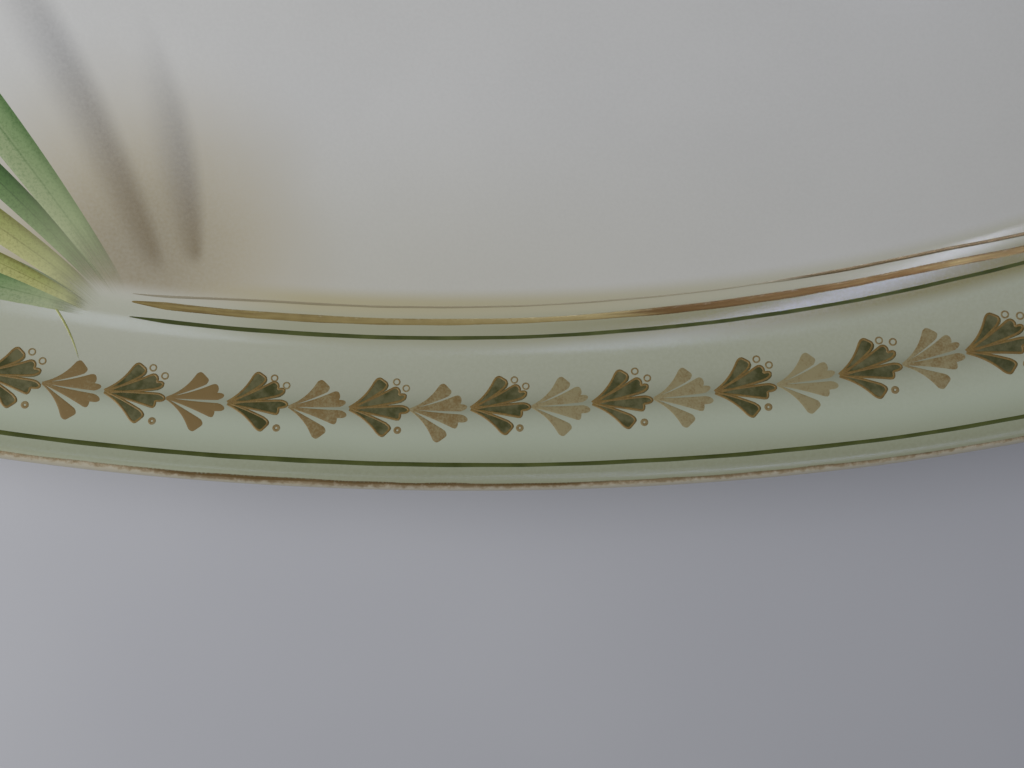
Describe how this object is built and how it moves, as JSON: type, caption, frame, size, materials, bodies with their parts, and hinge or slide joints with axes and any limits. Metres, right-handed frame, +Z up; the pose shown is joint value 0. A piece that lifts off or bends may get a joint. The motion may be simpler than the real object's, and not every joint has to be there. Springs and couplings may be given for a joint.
{
  "type": "oval porcelain tray",
  "caption": "Shallow oval glazed porcelain tray with a flat well, a coved sloping rim, a foot ring, and green and gilt fired bands, for serving food or holding small things.",
  "frame": {"origin": "middle of the plane that the foot ring stands on", "axes": "+X along the tray's length, +Y across it, +Z up out of the well"},
  "size_m": [0.3052, 0.1602, 0.0177],
  "materials": {
    "porcelain": "glossy clear glaze with a pale green wash on the rim",
    "green_enamel": "fired dark olive-green enamel",
    "gilt": "worn matt gilding"
  },
  "bodies": {
    "root": {"porcelain_body": "porcelain", "gilt_lip_band": "gilt", "green_lip_line": "green_enamel", "green_well_line": "green_enamel", "gilt_well_band": "gilt", "gilt_hairline": "gilt"}
  },
  "joints": []
}
